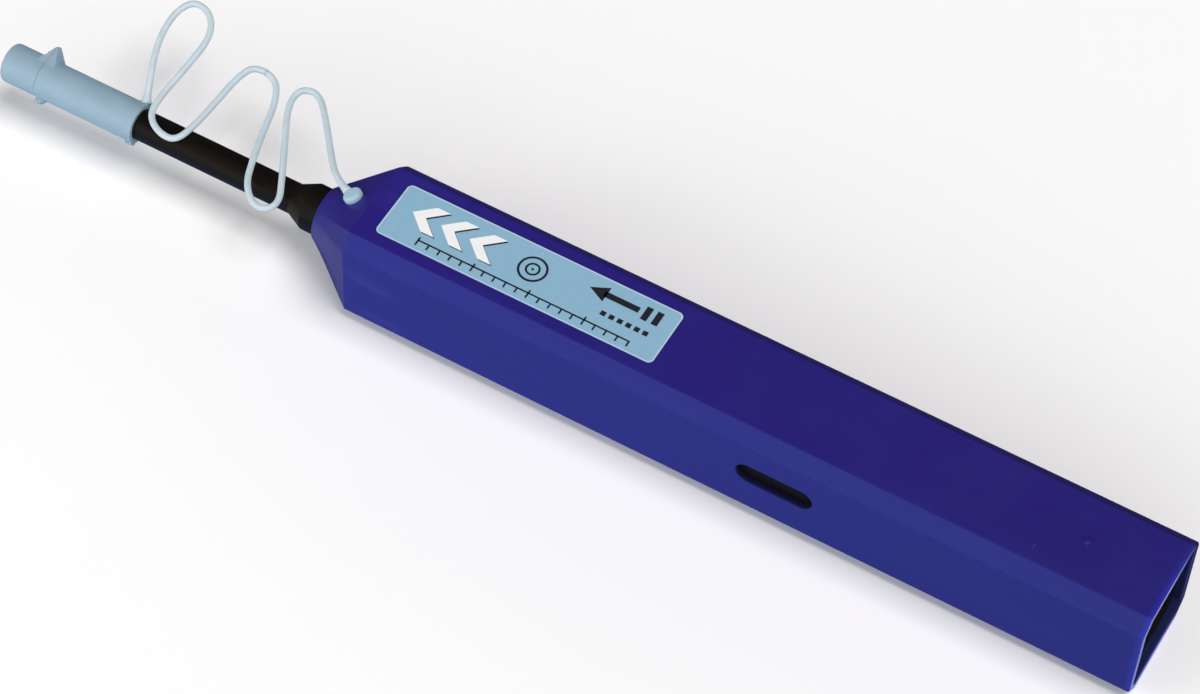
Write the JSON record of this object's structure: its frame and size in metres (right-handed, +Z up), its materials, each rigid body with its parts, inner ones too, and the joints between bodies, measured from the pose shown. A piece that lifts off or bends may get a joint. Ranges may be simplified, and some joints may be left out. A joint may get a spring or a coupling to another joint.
{
  "type": "fibre connector cleaning pen",
  "caption": "Square push-action cleaning pen for fibre connectors, with a sliding round nozzle, a lidded guide cap on a meandering tether, and tape reels inside.",
  "frame": {"origin": "on the flat the pen lies on, below the middle of its length and width", "axes": "+X along the pen towards its open rear end, +Z up out of the labelled face, +Y to the side the tether lies on"},
  "size_m": [0.21, 0.0319, 0.0202],
  "materials": {
    "blue_shell": "smooth moulded",
    "label_film": "printed film",
    "pale_blue": "soft moulded",
    "pale_cord": "soft moulded",
    "black_plastic": "semi-gloss moulded",
    "white_plastic": "plain moulded",
    "grey_sleeve": "plain moulded",
    "steel": "plain",
    "tape": "woven microfibre"
  },
  "bodies": {
    "shell": {"outer_shell": "blue_shell", "label": "label_film", "tether_plug": "pale_blue", "tether": "pale_cord", "reel_frame": "black_plastic", "frame_cover": "black_plastic", "takeup_pin": "steel", "supply_pin": "steel", "roller_pin": "steel", "cam_pin": "steel", "ratchet_pawl": "white_plastic", "brake_spring": "steel", "return_spring": "steel", "clean_tape_run": "tape", "used_tape_run": "tape"},
    "nozzle_unit": {"nozzle_tube": "black_plastic", "tip_sleeve": "grey_sleeve", "feed_carriage": "white_plastic", "retainer_ring": "white_plastic", "tip_spring": "steel"},
    "cleaning_core": {"core_shaft": "white_plastic", "core_tip": "white_plastic", "core_tape": "tape"},
    "gear": {"drive_gear": "white_plastic"},
    "takeup": {"takeup_reel": "white_plastic", "takeup_tape": "tape"},
    "supply": {"supply_reel": "white_plastic", "supply_tape": "tape"},
    "roller": {"guide_roller": "white_plastic"},
    "cap": {"guide_cap": "pale_blue"},
    "lid": {"cap_lid": "pale_blue"}
  },
  "joints": [
    {"name": "nozzle_slide", "type": "slide", "parent": "shell", "child": "nozzle_unit", "axis": [1, 0, 0], "range_m": [0, 0.01], "stiffness_N_per_m": 400, "springref_m": -0.01, "deforming": ["return_spring", "clean_tape_run", "used_tape_run", "tether"]},
    {"name": "core_turn", "type": "hinge", "parent": "nozzle_unit", "child": "cleaning_core", "pos_m": [-0.01, 0, 0.01], "axis": [1, 0, 0], "range_deg": [0, 190]},
    {"name": "gear_turn", "type": "hinge", "parent": "shell", "child": "gear", "pos_m": [0.062, 0, 0.01], "axis": [0, -1, 0], "range_deg": [0, 115]},
    {"name": "takeup_turn", "type": "hinge", "parent": "shell", "child": "takeup", "pos_m": [0.062, 0, 0.01], "axis": [0, -1, 0], "range_deg": [0, 115]},
    {"name": "supply_turn", "type": "hinge", "parent": "shell", "child": "supply", "pos_m": [0.082, 0, 0.01], "axis": [0, -1, 0], "range_deg": [0, 77]},
    {"name": "roller_turn", "type": "hinge", "parent": "shell", "child": "roller", "pos_m": [0.046, 0, 0.014], "axis": [0, -1, 0], "range_deg": [0, 296]},
    {"name": "cap_pull", "type": "slide", "parent": "nozzle_unit", "child": "cap", "axis": [-1, 0, 0], "range_m": [0, 0.025], "deforming": ["tether"]},
    {"name": "lid_hinge", "type": "hinge", "parent": "cap", "child": "lid", "pos_m": [-0.09765, 0.00429, 0.0136], "axis": [0, 0.6428, -0.766], "range_deg": [0, 140]}
  ],
  "couplings": [
    {"joint": "core_turn", "follows": "nozzle_slide", "rad_per_m": 314.16},
    {"joint": "gear_turn", "follows": "nozzle_slide", "rad_per_m": 190.48},
    {"joint": "takeup_turn", "follows": "nozzle_slide", "rad_per_m": 190.48},
    {"joint": "supply_turn", "follows": "nozzle_slide", "rad_per_m": 126.98},
    {"joint": "roller_turn", "follows": "nozzle_slide", "rad_per_m": 489.8}
  ]
}
